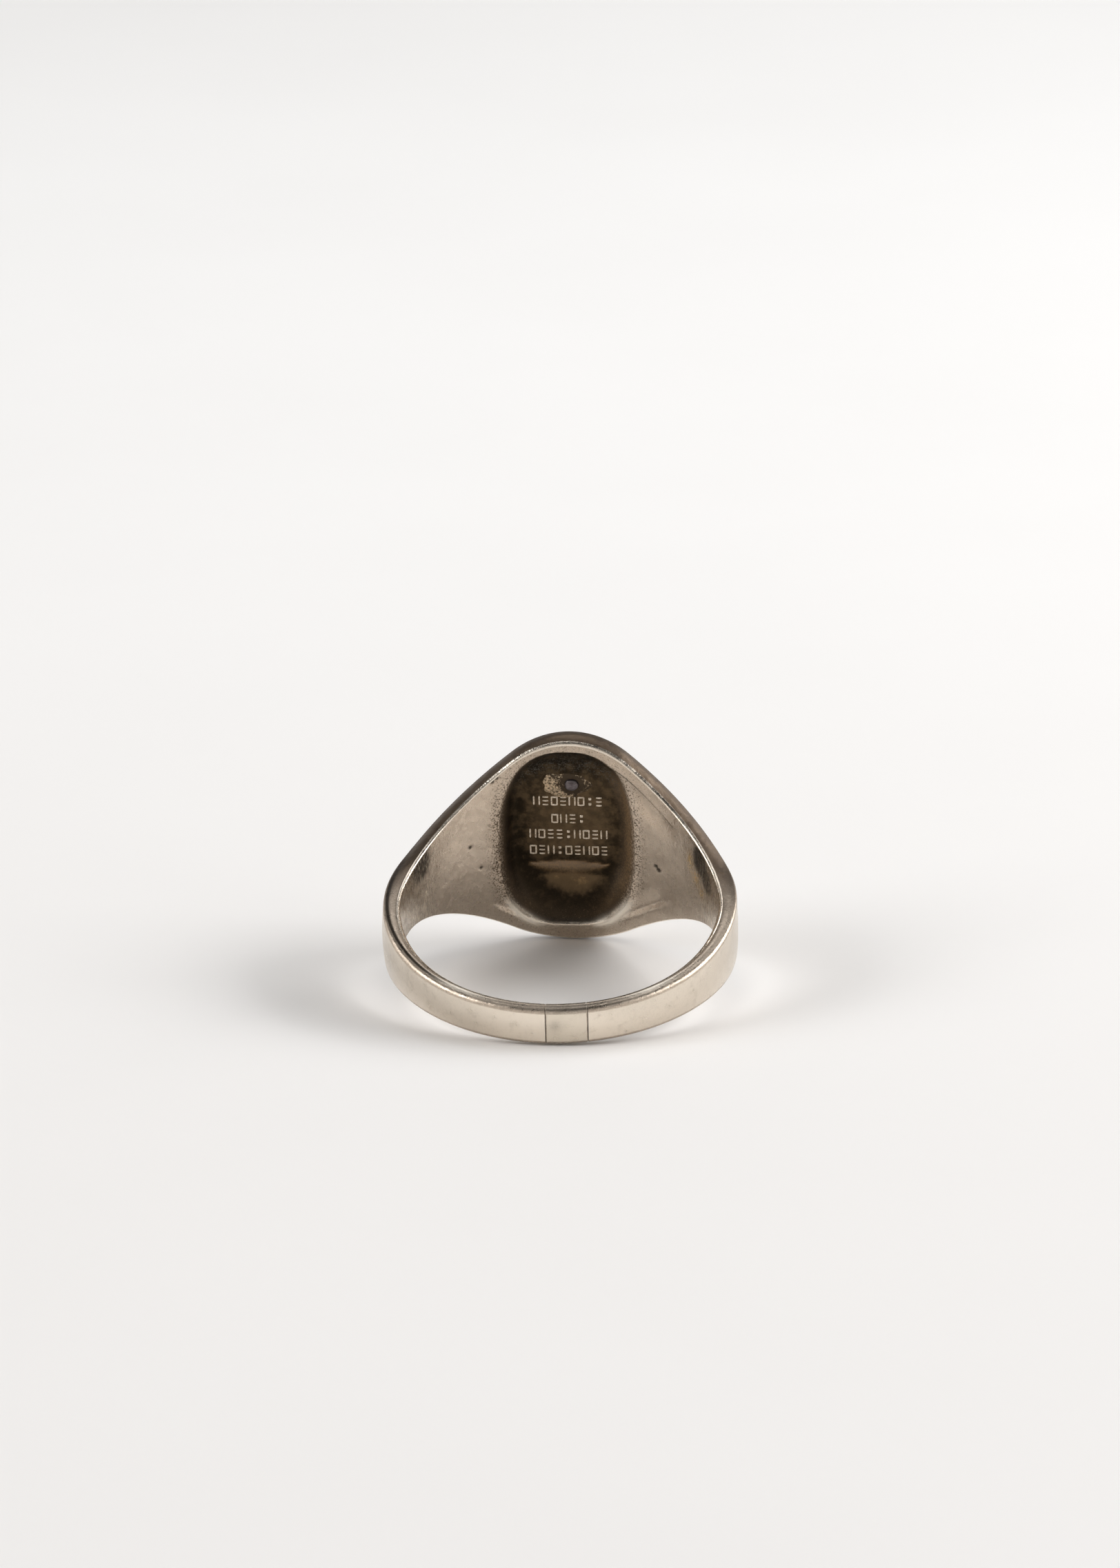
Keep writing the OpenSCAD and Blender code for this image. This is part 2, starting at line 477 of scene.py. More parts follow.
def broken_edge(q, endwise, right):
    """The oxide's broken edge on the hollow's two side walls, further in on the right."""
    fuzz = smooth(0.74 - 0.12 * right, 0.92 - 0.12 * right, q) * (1 - smooth(1.03, 1.13, q))
    return fuzz * (1 - smooth(0.25, 0.85, endwise)) * (0.75 + 0.25 * right)


def amber_glaze(q, endwise, x, z, right):
    """Amber: a bell across the side walls, most on the right, and the crease's painted highlight
    tinted amber, whichever is more.
    """
    band = np.exp(-((q - 0.97 + 0.11 * right) / 0.13) ** 2) * (1 - endwise)
    band = band * (0.28 + 0.54 * smooth(0.5, 3.0, x))
    return np.maximum(band, 0.60 * crease_highlight(x, z))


def lip_highlight(q, x, z):
    """A painted highlight on the rolled lower lip: a bell across the hollow's edge, less in the
    middle.
    """
    width = 0.028 + 0.024 * smooth(0.8, 2.6, x) + 0.012 * smooth(1.0, 2.6, -x)
    lip = 0.35 + 0.65 * (smooth(0.9, 1.6, x) + smooth(1.5, 2.5, -x))
    return lip * np.exp(-((q - 1.02) / width) ** 2) * smooth(-3.3, -4.6, z)


def side_highlight(theta, r, z):
    """A painted highlight on the upper side of the hoop: a bell round each of two directions."""
    turned = np.mod(theta + np.pi, 2 * np.pi) - np.pi
    shine = sum(np.exp(-((turned - math.radians(t)) / SHINE_REACH) ** 2) for t in SHINE_TURNS)
    return 0.85 * shine * np.exp(-((r - SHINE_R) / SHINE_REACH) ** 2) * (z > 0)


def inner_stain_and_shade(theta, x, z, foot):
    """Brown inside: stains at the step's foot, in the pits and on a bench above the step, and painted
    shade as a veil below.
    """
    stain_and_shade = np.maximum(0.95 * foot, 0.9 * spots(theta, z, PITS))
    edge = half_width(theta, BORE_R)
    bench = smooth(2.2, 3.2, x) * (1 - smooth(4.4, 5.6, x)) * smooth(3.0, 4.4, z)
    bench = bench * smooth(0.93, 1.02, (edge - z) * math.cos(TAPER))
    # painted shade: the inner walls darker towards their lower edge
    low_inset = (edge + z) * math.cos(TAPER)
    low_shade = 0.40 * (1 - smooth(0.4, 3.6, low_inset)) * (1 - 0.35 * smooth(-2.0, 2.0, x))
    return np.maximum(stain_and_shade, np.maximum(0.28 * bench, low_shade))


def outer_stain_and_shade(theta, x, z):
    """Tan outside: a bell at each mark on the hoop, and painted shade as a veil over its two far
    sides.
    """
    turned = np.mod(theta, 2 * np.pi)
    marks = sum(amount * np.exp(-((turned - math.radians(turn)) / reach) ** 2 - ((z - at) / tall) ** 2)
                for amount, turn, reach, at, tall in TAN_MARKS)
    # painted shade: the hoop's outside darker towards its two far sides
    veil = 0.21 * smooth(1.5, 5.0, np.abs(x)) * (1 - smooth(-0.1, 0.3, np.cos(theta)))
    return np.maximum(marks, veil)


def inner_soot_and_reflection(theta, x, z, foot):
    """Black: painted dark reflections on the walls near their ends, and dark in the pits and along the
    step's foot on its inner stretch.
    """
    soot_and_reflection = np.maximum(smooth(0.25, 0.62, spots(theta, z, DARK_REFLECTIONS)),
                      smooth(0.12, 0.50, spots(theta, z, PITS)))
    return np.maximum(soot_and_reflection, 0.85 * smooth(0.15, 0.80, foot) * (1 - smooth(3.8, 5.2, x)))


def dark_lines_and_reflection(theta, r, kinds, headward):
    """Dark lines where a side meets its bevel, and a painted dark reflection along the hoop's outer
    corners far left.
    """
    line = np.zeros_like(theta)
    for k in np.flatnonzero(np.diff(kinds == BEVEL)):
        j = k if kinds[k] == SIDE else k + 1
        line[:, j] = 0.40 - 0.25 * headward[:, j]
    # painted dark reflection along the outer corners on the far left
    leftward = smooth(5.2, 7.6, -r * np.sin(theta)) * (1 - smooth(0.2, 0.6, np.cos(theta)))
    for k in np.flatnonzero((kinds[:-1] == CORNER) & (kinds[1:] == SIDE)):
        for j in (k, k + 1):
            line[:, j] = np.maximum(line[:, j], 0.95 * leftward[:, j])
    return line


def surface_age(theta, r, z, kinds):
    """Where the silver is oxidised, rubbed bright, stained or given painted light and shade, point by
    point.

    dark is the oxide's amount, tone its colour, fuzz its broken edge and crust a grey
    skin on it; grain scatters specks; edge dulls the sides; worn scores the shoulders;
    rub is the polished outside, and run the place along the surface in millimetres.
    The lip holds painted highlights, and the brown stains, the black and the dark lines hold
    painted shade and painted dark reflections as well.
    """
    q, endwise = hollow_reach(theta, z)
    x = BORE_R * np.sin(theta)
    inner = (kinds == INSIDE)[None, :] & (np.cos(theta) > 0)
    side = np.isin(kinds, (CORNER, SIDE))[None, :]
    bevel = (kinds == BEVEL)[None, :] + np.zeros_like(theta)
    outer = (kinds == OUTSIDE)[None, :] + np.zeros_like(theta)
    headward = smooth(-0.25, 0.45, np.cos(theta))
    right = smooth(-1.0, 3.0, x)
    _, foot = shoulder_step(theta, z)

    def inside(values):
        """The values on the head's inner face, and nothing elsewhere."""
        return np.where(inner, values, 0.0)

    width = 0.03 + (0.17 + 0.12 * right) * (1 - endwise)
    dark = inside(1 - smooth(0.99 - 0.75 * width, 1.0 + 0.42 * width, q))
    grain = inside(smooth(0.72, 0.92, q) * (1 - smooth(1.02, 1.30, q)))
    grain = grain * (1 - 0.12 * right) * (1 - 0.6 * endwise)
    # the oxide is thinned under the crease's painted highlight; the lip holds painted highlights; the
    # brown stains and the black also hold painted shade and painted dark reflections, and the dark
    # lines one painted dark reflection
    values = {
        "dark": dark * (1 - 0.44 * np.sqrt(crease_highlight(x, z))),
        "tone": inside(hollow_tone(x, z)),
        "fuzz": inside(broken_edge(q, endwise, right)),
        "amber": inside(amber_glaze(q, endwise, x, z, right)),
        "lip": np.maximum(inside(lip_highlight(q, x, z)), np.where(side, side_highlight(theta, r, z), 0.0)),
        "grain": np.maximum(grain, np.where(side, headward, 0.0)),
        "edge": np.where(side, 0.40 + 0.60 * headward, 0.0),
        "worn": inside(smooth(7.6, 8.5, np.abs(x))),
        "line": dark_lines_and_reflection(theta, r, kinds, headward),
        "stain_and_shade": np.maximum(inside(inner_stain_and_shade(theta, x, z, foot)), outer_stain_and_shade(theta, x, z) * outer),
        "soot_and_reflection": inside(inner_soot_and_reflection(theta, x, z, foot)),
        "gold": inside(spots(theta, z, GOLD_CRUST)),
        "crust": inside(smooth(0.62, 0.80, q) * (1 - smooth(0.93, 0.99, q)) * smooth(2.5, 5.0, z)),
        "rub": np.maximum(outer, 0.9 * bevel),
    }
    attributes = {key: value.ravel() for key, value in values.items()}
    attributes["run"] = np.stack([BORE_R * theta, z, r], -1).reshape(-1, 3)
    return attributes


# ---------------------------------------------------------------- the signet table

RAYS = 72
RAY_HEIGHT = 0.02
EDGE_DROP = 0.05
FLARE = 0.16
FLARE_SINK = 0.03
TABLE_UNDER_Y = 10.75


def shoulder_y(x):
    """Height of the hoop's outside towards the head, at x across."""
    return np.sqrt(OUTER_R**2 - x**2) + OUTER_OFF


def signet_table(material):
    """The raised oval of the head, on rings of points round its middle.

    From the middle out: a sunk ground with fine rays, a step up to a flat border,
    a rounded edge, and a wall that flares down into the shoulders. The hidden
    underside closes it.
    """
    border = 1 - BORDER_W / TABLE_A
    step = (border - 0.035, border + 0.02)
    stops = [0.02, *step, 0.975, 1.0, 1.0 + FLARE]
    counts = [34, 6, 6, 6, 16]
    rho = np.concatenate([np.linspace(a, b, n, endpoint=False)
                          for a, b, n in zip(stops[:-1], stops[1:], counts)] + [[stops[-1]]])
    phi = np.linspace(0, 2 * np.pi, 288, endpoint=False)
    rho, phi = rho[:, None], phi[None, :]
    x = TABLE_A * rho * np.cos(phi)
    z = TABLE_B * rho * np.sin(phi)
    rays = RAY_HEIGHT * np.cos(RAYS * phi) * smooth(0.25, 0.5, rho)
    rays = rays * (1 - smooth(border - 0.09, border - 0.04, rho))
    y = TABLE_Y - GROUND_DEPTH * (1 - smooth(*step, rho)) + rays
    y = y - EDGE_DROP * smooth(0.955, 1.0, rho) ** 2
    fall = np.clip((rho - 1.0) / FLARE, 0, 1)
    base = shoulder_y(x) - FLARE_SINK
    y = y + (base - y) * (1 - (1 - fall) ** 2.2) * (rho > 1.0)
    rows, cols = x.shape
    verts = laid(x, y, z)
    back = np.array([1.0 + FLARE, 1.06, 0.98, 0.9, 0.8, 0.7, 0.5, 0.25, 0.02])[:, None]
    under_x = TABLE_A * back * np.cos(phi)
    under = shoulder_y(under_x) + 0.5 - 0.40 * smooth(0.7, 0.98, back)
    under = under - 0.3 * smooth(1.0, 1.0 + FLARE, back)
    low = laid(under_x, np.minimum(under, TABLE_UNDER_Y), TABLE_B * back * np.sin(phi))
    middle = laid([0.0, 0.0], [TABLE_Y - GROUND_DEPTH, TABLE_UNDER_Y], [0.0, 0.0])
    verts = np.concatenate([verts, low, middle])
    deep = rows + len(back)
    faces = grid_faces(deep, cols, wrap_cols=True)
    top, bottom = deep * cols, deep * cols + 1
    faces += [[top, k, (k + 1) % cols] for k in range(cols)]
    faces += [[bottom, (deep - 1) * cols + (k + 1) % cols, (deep - 1) * cols + k] for k in range(cols)]
    faces = facing_out(verts, faces)
    hidden = len(back) * cols
    rr = np.concatenate([(rho + 0 * phi).ravel(), np.full(hidden, 1.2), [0, 1.2]])
    ground = 1 - smooth(border - 0.02, border + 0.02, rr)
    corner = np.exp(-((rr - border + 0.03) / 0.03) ** 2)
    attributes = {
        "dark": 0.30 * ground + 0.35 * corner,
        "tone": 0.55 * ground,
        "grain": 0.6 * ground,
        "rub": 1.0 - ground,
        "run": np.concatenate([np.stack([x + 0 * phi, z + 0 * phi, y], -1).reshape(-1, 3),
                               np.zeros((hidden + 2, 3))]),
    }
    return make_piece("signet_table", verts, faces, material, attributes, 50)


SHIELD_W = 5.0
SHIELD_TOP = 4.35
SHIELD_SIDE = 3.4
SHIELD_MIDDLE = 0.9
SHIELD_SUNK = 0.05
FIELD_RISE = 0.45
FIELD_DOME = 0.05
RIM_RISE = 0.15
RIM_BEVEL = 0.16


def shield_reach(phi, middle_z):
    """Distance from the shield's middle to its outline in direction phi.

    The least of: the top edge, the straight sides, and the two arcs that meet in
    the point, taken with a soft minimum so that the corners are rubbed.
    """
    c, s = np.cos(phi), np.sin(phi)
    half = SHIELD_W / 2
    top = (SHIELD_TOP - middle_z) / np.maximum(s, 1e-3)
    sides = half / np.maximum(np.abs(c), 1e-3)
    arc_z = SHIELD_TOP - SHIELD_SIDE - middle_z
    b = half * np.abs(c) - arc_z * s
    cc = half**2 + arc_z**2 - SHIELD_W**2
    arcs = -b + np.sqrt(np.maximum(b * b - cc, 0.0))
    below = (arcs * s) < arc_z
    arcs = np.where(below, arcs, sides)
    stack = np.stack([top, sides, arcs])
    return (stack**-14).sum(0) ** (-1 / 14) * 1.02


def shield(material):
    """The applied shield: a bevelled rim round a sunk, slightly domed plain field."""
    phi = np.linspace(0, 2 * np.pi, 360, endpoint=False)[None, :]
    reach = shield_reach(phi, SHIELD_MIDDLE)
    rho = np.array([0.02, 0.2, 0.4, 0.6, 0.74, 0.80, 0.82, 0.84, 0.855, 0.87, 0.89, 0.92,
                    0.95, 0.965, 0.98, 0.99, 0.997, 1.0, 1.0])[:, None]
    rise = FIELD_RISE + RIM_RISE * smooth(0.8, 0.86, rho) - RIM_BEVEL * smooth(0.95, 1.0, rho) ** 1.5
    rise = rise + FIELD_DOME * (1 - np.clip(rho / 0.8, 0, 1) ** 2)
    rise[-1] = -SHIELD_SUNK
    x = reach * rho * np.cos(phi)
    z = SHIELD_MIDDLE + reach * rho * np.sin(phi)
    y = TABLE_Y - GROUND_DEPTH + rise + 0 * phi
    rows, cols = x.shape
    verts = np.concatenate([laid(x, y, z),
                            laid([0, 0], [y[0, 0], y[-1, 0]], [SHIELD_MIDDLE, SHIELD_MIDDLE])])
    faces = grid_faces(rows, cols, wrap_cols=True)
    faces += [[rows * cols, k, (k + 1) % cols] for k in range(cols)]
    last = (rows - 1) * cols
    faces += [[rows * cols + 1, last + (k + 1) % cols, last + k] for k in range(cols)]
    faces = facing_out(verts, faces)
    rr = np.append((rho + 0 * phi).ravel(), [0.0, 1.0])
    attributes = {
        "dark": 0.35 * np.exp(-((rr - 0.81) / 0.02) ** 2),
        "grain": 0 * rr,
        "rub": smooth(0.83, 0.88, rr),
        "run": np.concatenate([np.stack([x, z, y], -1).reshape(-1, 3), np.zeros((2, 3))]),
    }
    piece = make_piece("shield_silver", verts, faces, material, attributes, 50)
    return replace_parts(piece, "shield_emblem")


# ---------------------------------------------------------------- the hollow's details

# Rows of struck marks: the height of each, and the kinds of its marks from left to right,
# which are 0 posts, 1 dashes, 2 a box and 3 dots
ROW_Z = (2.36, 1.10, -0.02, -1.18)
ROW_KINDS = ((0, 1, 2, 1, 0, 2, 3, 1), (2, 0, 1, 3),
             (0, 2, 1, 1, 3, 0, 2, 1, 0), (2, 1, 0, 3, 2, 1, 0, 2, 1))
MARK_GAP = 0.54
MARK_H = 0.62
MARK_W = 0.62 * MARK_GAP
DASH_STEP = 0.44 * MARK_H
DOT_STEP = 0.3 * MARK_H
STROKE_W = 0.10
STROKE_RISE = 0.055
DOT_W = 0.17


def stroke(x, z, w, h):
    """One struck line: a bar with a rounded top, as a ring of points on three levels."""
    steps = np.array([-1, -0.55, 0.55, 1, 1, 0.55, -0.55, -1]) / 2
    sx = x + w * steps
    sz = z + h * np.array([-0.8, -1, -1, -0.8, 0.8, 1, 1, 0.8]) / 2
    cx, cz = x + 0.55 * (sx - x), z + 0.9 * (sz - z)
    xs = np.concatenate([sx, sx, cx])
    zs = np.concatenate([sz, sz, cz])
    ys = FLOOR_Y + np.repeat([0.03, -0.6 * STROKE_RISE, -STROKE_RISE], 8)
    ring = np.arange(8)
    after = (ring + 1) % 8
    faces = [[int(a), int(b), int(b + 8), int(a + 8)] for a, b in zip(ring, after)]
    faces += [[int(a + 8), int(b + 8), int(b + 16), int(a + 16)] for a, b in zip(ring, after)]
    faces += [list(range(16, 24)), list(range(7, -1, -1))]
    return xs, ys, zs, faces


def mark(kind, x, z):
    """A plain mark of two or more strokes: posts, stacked dashes, a box or stacked dots."""
    posts = [(x + k * MARK_W / 2, z, STROKE_W, MARK_H) for k in (-1, 1)]
    dashes = [(x, z + k * DASH_STEP, MARK_W, STROKE_W) for k in (-1, 0, 1)]
    dots = [(x, z + k * DOT_STEP, DOT_W, DOT_W) for k in (-1, 1)]
    return (posts, dashes, posts + dashes[::2], dots)[kind]


def struck_rows(material):
    """Four rows of plain struck marks on the hollow's floor. They spell nothing."""
    verts, faces, count = [], [], 0
    for z, kinds in zip(ROW_Z, ROW_KINDS):
        for k, kind in enumerate(kinds):
            x = HOLLOW_X - 0.05 + (k - (len(kinds) - 1) / 2) * MARK_GAP
            for item in mark(kind, x, z):
                xs, ys, zs, quads = stroke(*item)
                verts.append(laid(xs, ys, zs))
                faces += [[v + count for v in q] for q in quads]
                count += len(xs)
    verts = np.concatenate(verts)
    faces = facing_out(verts, faces)
    return make_piece("struck_rows", verts, faces, material, None, 30)


DISC_FOOT = 0.08
# The painted shadow ring in the solder close round the post: its radius and its reach
RING_R = 0.52
RING_REACH = 0.11


def lumpy_disc(name, x0, z0, a, b, height, lumps, material, flat=False):
    """A low patch on the hollow's floor: rings of points whose reach and rise wander.

    The outline is an oval with a few waves round it; the height is a dome with
    smaller waves, or a filed flat with a rounded edge. Its light attribute is painted light:
    it falls from one side to the other, with a painted shadow ring close round the post.
    """
    phi = np.linspace(0, 2 * np.pi, 72, endpoint=False)[None, :]
    rho = np.array([0.04, 0.25, 0.45, 0.62, 0.76, 0.87, 0.94, 0.98, 1.0, 1.0])[:, None]
    wave = 1 + lumps * (0.5 * np.sin(3 * phi + 0.8) + 0.35 * np.sin(5 * phi + 2.1)
                        + 0.25 * np.sin(9 * phi + 0.3))
    x = x0 + a * wave * rho * np.cos(phi)
    z = z0 + b * wave * rho * np.sin(phi)
    dome = 1 - rho ** (16 if flat else 2.5)
    rough = lumps * (np.sin(7 * phi + 9 * rho) * np.sin(11 * rho + 2 * phi)) * (1 - rho**2)
    y = FLOOR_Y - height * (dome + rough) + 0 * phi
    y[-1] = FLOOR_Y + DISC_FOOT
    rows, cols = x.shape
    verts = np.concatenate([laid(x, y, z),
                            laid([x0, x0], [FLOOR_Y - height, FLOOR_Y + DISC_FOOT], [z0, z0])])
    faces = grid_faces(rows, cols, wrap_cols=True)
    faces += [[rows * cols, k, (k + 1) % cols] for k in range(cols)]
    last = (rows - 1) * cols
    faces += [[rows * cols + 1, last + (k + 1) % cols, last + k] for k in range(cols)]
    faces = facing_out(verts, faces)
    # painted light and shade: lighter to one side, darker to the other, with a painted shadow ring
    # round the post
    light = smooth(0.5, -0.9, np.append((x - x0) / a + 0.5 * (z - z0) / b, [0.0, 0.0]))
    apart = np.append(np.hypot(x, z - POST_Z), [FAR, FAR])
    light = light - 2.2 * np.exp(-((apart - RING_R) / RING_REACH) ** 2)
    return make_piece(name, verts, faces, material, {"light": light}, 60)


# ---------------------------------------------------------------- materials

class Shade:
    """A small helper that adds nodes to one material and joins them up."""

    def __init__(self, name):
        self.material = bpy.data.materials.new(name)
        self.material.use_nodes = True
        self.nodes = self.material.node_tree.nodes
        self.links = self.material.node_tree.links
        self.shader = self.nodes["Principled BSDF"]

    def add(self, kind, inputs=None, **settings):
        """A node of that kind, with its settings, its inputs set or joined."""
        node = self.nodes.new(kind)
        for key, value in settings.items():
            setattr(node, key, value)
        for key, value in (inputs or {}).items():
            if isinstance(value, bpy.types.NodeSocket):
                self.links.new(value, node.inputs[key])
            else:
                node.inputs[key].default_value = value
        return node

    def millimetres(self):
        """The piece's own coordinates, in millimetres."""
        coords = self.add("ShaderNodeTexCoord").outputs["Object"]
        return self.add("ShaderNodeVectorMath", {0: coords, 1: (1000, 1000, 1000)},
                        operation="MULTIPLY").outputs[0]

    def attribute(self, name, vector=False):
        """A value or a vector that the mesh carries."""
        node = self.add("ShaderNodeAttribute", attribute_name=name)
        return node.outputs["Vector" if vector else "Fac"]

    def noise(self, vector, scale, detail=3.0, rough=0.55):
        """Fractal noise from about 0.3 to 0.7; the scale is features a millimetre."""
        node = self.add("ShaderNodeTexNoise", {"Vector": vector, "Scale": scale,
                                               "Detail": detail, "Roughness": rough})
        return node.outputs["Fac"]

    def math(self, operation, a, b=0.0, clamp=False):
        """One sum, difference or product."""
        return self.add("ShaderNodeMath", {0: a, 1: b}, operation=operation,
                        use_clamp=clamp).outputs[0]

    def span(self, value, low, high, to_low=0.0, to_high=1.0):
        """The value carried from one range to another along an S, and held beyond it."""
        node = self.add("ShaderNodeMapRange", {"Value": value, "From Min": low, "From Max": high,
                                               "To Min": to_low, "To Max": to_high})
        node.interpolation_type = "SMOOTHSTEP"
        return node.outputs["Result"]

    def mix(self, fac, a, b):
        """Colour a at 0, colour b at 1."""
        node = self.add("ShaderNodeMix", data_type="RGBA")
        for key, value in ((0, fac), (6, a), (7, b)):
            if isinstance(value, bpy.types.NodeSocket):
                self.links.new(value, node.inputs[key])
            else:
                node.inputs[key].default_value = value
        return node.outputs[2]

    def stretched(self, vector, factors):
        """The vector with each direction multiplied by its own factor."""
        return self.add("ShaderNodeVectorMath", {0: vector, 1: factors},
                        operation="MULTIPLY").outputs[0]

    def bump(self, height, distance, below=None, strength=1.0):
        """The normal leant over by a height in metres, on top of another bump."""
        node = self.add("ShaderNodeBump", {"Height": height, "Distance": distance,
                                           "Strength": strength})
        if below is not None:
            self.links.new(below, node.inputs["Normal"])
        return node.outputs["Normal"]

    def finish(self, **sockets):
        """The material, with the shader's sockets joined or set."""
        for key, value in sockets.items():
            socket = self.shader.inputs[key.replace("_", " ")]
            if isinstance(value, bpy.types.NodeSocket):
                self.links.new(value, socket)
            else:
                socket.default_value = value
        return self.material


# The colours of old silver's coats, in the order in which they are laid on
CLOUD_BROWN = (0.34, 0.27, 0.20, 1)
EDGE_BROWN = (0.118, 0.085, 0.062, 1)
OXIDE_BLACK = (0.021, 0.0155, 0.010, 1)
OXIDE_OLIVE = (0.165, 0.115, 0.065, 1)
OXIDE_AMBER = (0.90, 0.57, 0.27, 1)
CRUST_GREY = (0.15, 0.145, 0.130, 1)
GLAZE_AMBER = (0.40, 0.255, 0.130, 1)
SPECK_BROWN = (0.12, 0.085, 0.055, 1)
# brown for stains, and for painted shade on the inner walls and the hoop's far sides
DIRT_AND_SHADE_BROWN = (0.13, 0.098, 0.070, 1)
# black for the pits and the step's foot, and for painted dark reflections on the walls
SOOT_AND_REFLECTION_BLACK = (0.050, 0.042, 0.034, 1)
SCRATCH_BRIGHT = (0.92, 0.82, 0.66, 1)
SCRATCH_DARK = (0.12, 0.09, 0.065, 1)
GOLD_FLECK = (0.95, 0.65, 0.28, 1)
# black for the bevel lines, and for a painted dark reflection on the far-left corners
LINE_AND_REFLECTION_BLACK = (0.055, 0.042, 0.032, 1)
# near white for the painted highlights on the lower lip and the hoop's upper side
LIP_HIGHLIGHT = (0.98, 0.91, 0.79, 1)


def old_silver(name, satin, bright):
    """Old sterling silver: satin inside, rubbed outside, oxidised where nothing rubs it.

    The colour is laid on in coats, each mixed over the one before by an attribute
    times a noise: cloudy metal, oxide, amber, specks, brown stains with painted shade,
    black with painted dark reflections, scratches, gold, dark lines with a painted dark
    reflection, and painted highlights on the lip and the hoop's sides.
    """
    s = Shade(name)
    mm = s.millimetres()
    run = s.attribute("run", vector=True)
    dark, tone, grain, rub, edge, line, stain_and_shade, soot_and_reflection, gold, crust, worn, fuzz, lip, amber = (
        s.attribute(k) for k in ("dark", "tone", "grain", "rub", "edge", "line", "stain_and_shade", "soot_and_reflection",
                                 "gold", "crust", "worn", "fuzz", "lip", "amber"))
    broad = s.noise(mm, 0.55, 4.0)
    patchy = s.noise(mm, 1.7, 5.0, 0.6)
    speck = s.noise(mm, 9.0, 3.0, 0.7)
    fine = s.noise(mm, 26.0, 2.0)
    hairs = s.noise(s.stretched(run, (9.0, 0.7, 1.0)), 3.0, 3.0, 0.6)

    # the bare metal, clouded in patches and dull along the sides
    clean = s.mix(rub, satin, bright)
    cloud = s.math("MULTIPLY", s.span(patchy, 0.48, 0.78, 0.0, 0.40), s.span(broad, 0.4, 0.65))
    clean = s.mix(cloud, clean, CLOUD_BROWN)
    edged = s.math("MULTIPLY", edge, s.span(speck, 0.44, 0.62, 1.0, 0.52))
    clean = s.mix(edged, clean, EDGE_BROWN)

    # the oxide: how far it covers, and its colour from black through olive to amber
    loose = s.math("MULTIPLY", s.math("SUBTRACT", speck, 0.5), s.math("MULTIPLY", grain, 1.5))
    loose = s.math("MULTIPLY", loose, s.math("ADD", 1.0, fuzz))
    cover = s.span(s.math("ADD", loose, dark), 0.14, 0.76)
    amount = s.math("ADD", tone, s.span(patchy, 0.35, 0.7, -0.10, 0.12))
    oxide = s.mix(s.span(amount, 0.0, 0.5), OXIDE_BLACK, OXIDE_OLIVE)
    oxide = s.mix(s.span(amount, 0.5, 1.0), oxide, OXIDE_AMBER)
    crusty = s.math("MULTIPLY", crust, s.span(speck, 0.50, 0.62, 0.0, 0.8))
    oxide = s.mix(crusty, oxide, CRUST_GREY)
    colour = s.mix(cover, clean, oxide)

    # amber, specks, brown stains with painted shade, and black with painted dark reflections, over
    # both
    glaze = s.math("MULTIPLY", amber, s.span(speck, 0.36, 0.60, 1.0, 0.45))
    colour = s.mix(glaze, colour, GLAZE_AMBER)
    gritty = s.math("ADD", speck, s.math("MULTIPLY", grain, 0.155))
    specks = s.math("MULTIPLY", s.span(gritty, 0.62, 0.70), s.math("ADD", grain, 0.22))
    colour = s.mix(s.math("MULTIPLY", specks, 0.8), colour, SPECK_BROWN)
    dirt_and_shade = s.math("MULTIPLY", stain_and_shade, s.span(speck, 0.28, 0.55, 1.0, 0.55))
    colour = s.mix(dirt_and_shade, colour, DIRT_AND_SHADE_BROWN)
    colour = s.mix(s.math("MULTIPLY", soot_and_reflection, 0.9), colour, SOOT_AND_REFLECTION_BLACK)

    # scratches along the shoulders, flecks of gold, dark lines with a painted dark reflection, and
    # painted highlights
    lit = s.math("MULTIPLY", worn, s.span(hairs, 0.53, 0.60, 0.0, 0.75))
    colour = s.mix(lit, colour, SCRATCH_BRIGHT)
    scored = s.math("MULTIPLY", worn, s.span(hairs, 0.44, 0.38, 0.0, 0.6))
    colour = s.mix(scored, colour, SCRATCH_DARK)
    flecks = s.math("MULTIPLY", gold, s.span(speck, 0.42, 0.58))
    colour = s.mix(flecks, colour, GOLD_FLECK)
    colour = s.mix(line, colour, LINE_AND_REFLECTION_BLACK)
    colour = s.mix(s.math("MULTIPLY", lip, 0.9), colour, LIP_HIGHLIGHT)

    # oxide and sides are rougher, rubbed metal smoother; the broken edge is partly not metal
    rough = s.span(patchy, 0.3, 0.7, 0.20, 0.34)
    rough = s.math("ADD", rough, s.math("MULTIPLY", cover, 0.20))
    rough = s.math("SUBTRACT", rough, s.math("MULTIPLY", rub, 0.06))
    rough = s.math("ADD", rough, s.math("MULTIPLY", edge, 0.10))
    # painted highlights: smoother and mostly not metal, so they stay pale white
    rough = s.math("SUBTRACT", rough, s.math("MULTIPLY", lip, 0.20))
    rough = s.math("ADD", rough, s.math("MULTIPLY", fuzz, 0.10))
    metal = s.math("SUBTRACT", 1.0, s.math("MULTIPLY", fuzz, 0.62))
    metal = s.math("SUBTRACT", metal, s.math("MULTIPLY", lip, 0.85), clamp=True)
    normal = s.bump(broad, 0.00010)
    normal = s.bump(hairs, 0.000006, normal)
    normal = s.bump(speck, 0.00003, normal, 0.35)
    normal = s.bump(fine, 0.000012, normal, 0.5)
    return s.finish(Base_Color=colour, Metallic=metal, Roughness=rough, Normal=normal)


